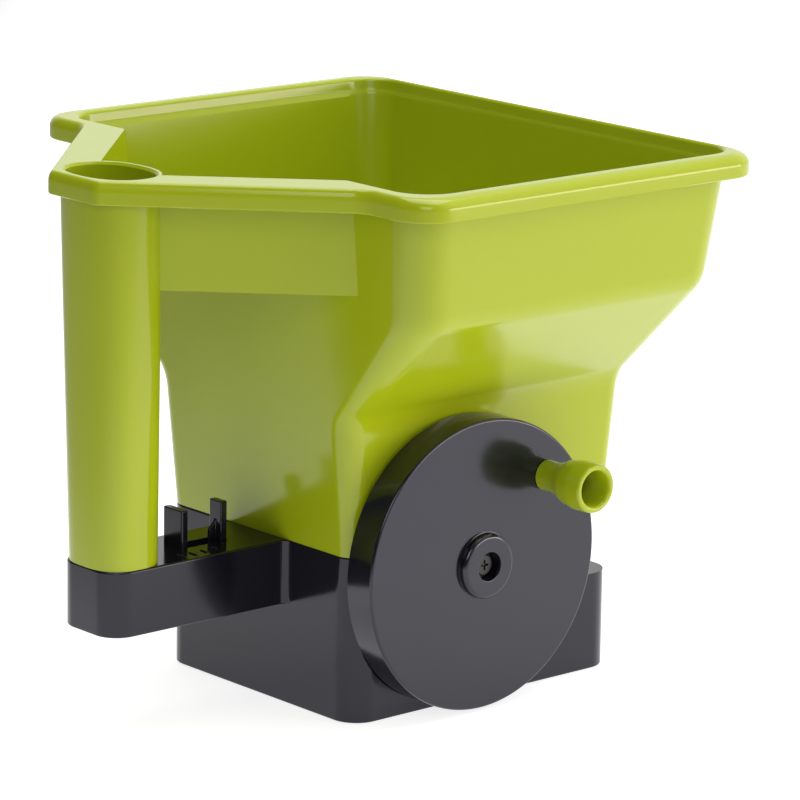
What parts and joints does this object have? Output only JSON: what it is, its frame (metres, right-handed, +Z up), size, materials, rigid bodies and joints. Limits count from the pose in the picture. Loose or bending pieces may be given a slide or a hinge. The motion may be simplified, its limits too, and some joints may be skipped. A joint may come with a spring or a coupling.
{
  "type": "garden spreader",
  "caption": "Hand-held garden spreader: an open hopper with a hollow handle on a dark housing, with a crank disc and knob that turn a geared spinner.",
  "frame": {"origin": "centre of the housing's underside, where it rests", "axes": "+X forward in the throw direction, away from the handle; +Z up; the crank is on the -Y side"},
  "size_m": [0.2644, 0.2526, 0.2324],
  "materials": {
    "lime_plastic": "glossy moulded lime green",
    "dark_plastic": "satin moulded anthracite",
    "disc_plastic": "fine satin anthracite",
    "gear_plastic": "natural acetal",
    "steel": "zinc plated",
    "bronze": "sintered bronze",
    "felt": "pressed felt"
  },
  "bodies": {
    "base": {"base_housing": "dark_plastic", "hopper": "lime_plastic", "base_cover": "dark_plastic", "crank_sleeve": "steel", "crank_washer": "steel", "crank_screw": "steel", "layshaft_bushes": "bronze", "spinner_bush_upper": "bronze", "spinner_bush_lower": "bronze", "hopper_seal": "felt", "shutter_guide": "dark_plastic", "guide_screws": "steel", "cover_screws": "steel", "hopper_screws": "steel", "handle_screw": "steel"},
    "crank": {"crank_disc": "disc_plastic", "knob_screw": "steel"},
    "knob": {"crank_knob": "lime_plastic"},
    "layshaft": {"layshaft": "steel", "layshaft_pinion": "gear_plastic", "layshaft_bevel": "gear_plastic", "layshaft_clip": "steel"},
    "spinner": {"spinner_shaft": "steel", "spinner_bevel": "gear_plastic", "spinner_disc": "dark_plastic", "spinner_clip": "steel", "agitator": "dark_plastic"},
    "shutter": {"shutter_slide": "dark_plastic"}
  },
  "joints": [
    {"name": "crank_turn", "type": "hinge", "parent": "base", "child": "crank", "pos_m": [-0.0168, -0.0715, 0.0632], "axis": [0, -1, 0], "continuous": true},
    {"name": "knob_spin", "type": "hinge", "parent": "crank", "child": "knob", "pos_m": [0.01734, -0.094, 0.09651], "axis": [0, -1, 0], "continuous": true},
    {"name": "layshaft_turn", "type": "hinge", "parent": "base", "child": "layshaft", "pos_m": [0.0102, -0.035, 0.02534], "axis": [0, -1, 0], "continuous": true},
    {"name": "spinner_turn", "type": "hinge", "parent": "base", "child": "spinner", "pos_m": [0.0102, 0, 0.05], "axis": [0, 0, -1], "continuous": true},
    {"name": "shutter_pull", "type": "slide", "parent": "base", "child": "shutter", "axis": [-1, 0, 0], "range_m": [0, 0.0145]}
  ],
  "couplings": [
    {"joint": "layshaft_turn", "follows": "crank_turn", "ratio": 6.1667},
    {"joint": "spinner_turn", "follows": "crank_turn", "ratio": 6.1667}
  ]
}
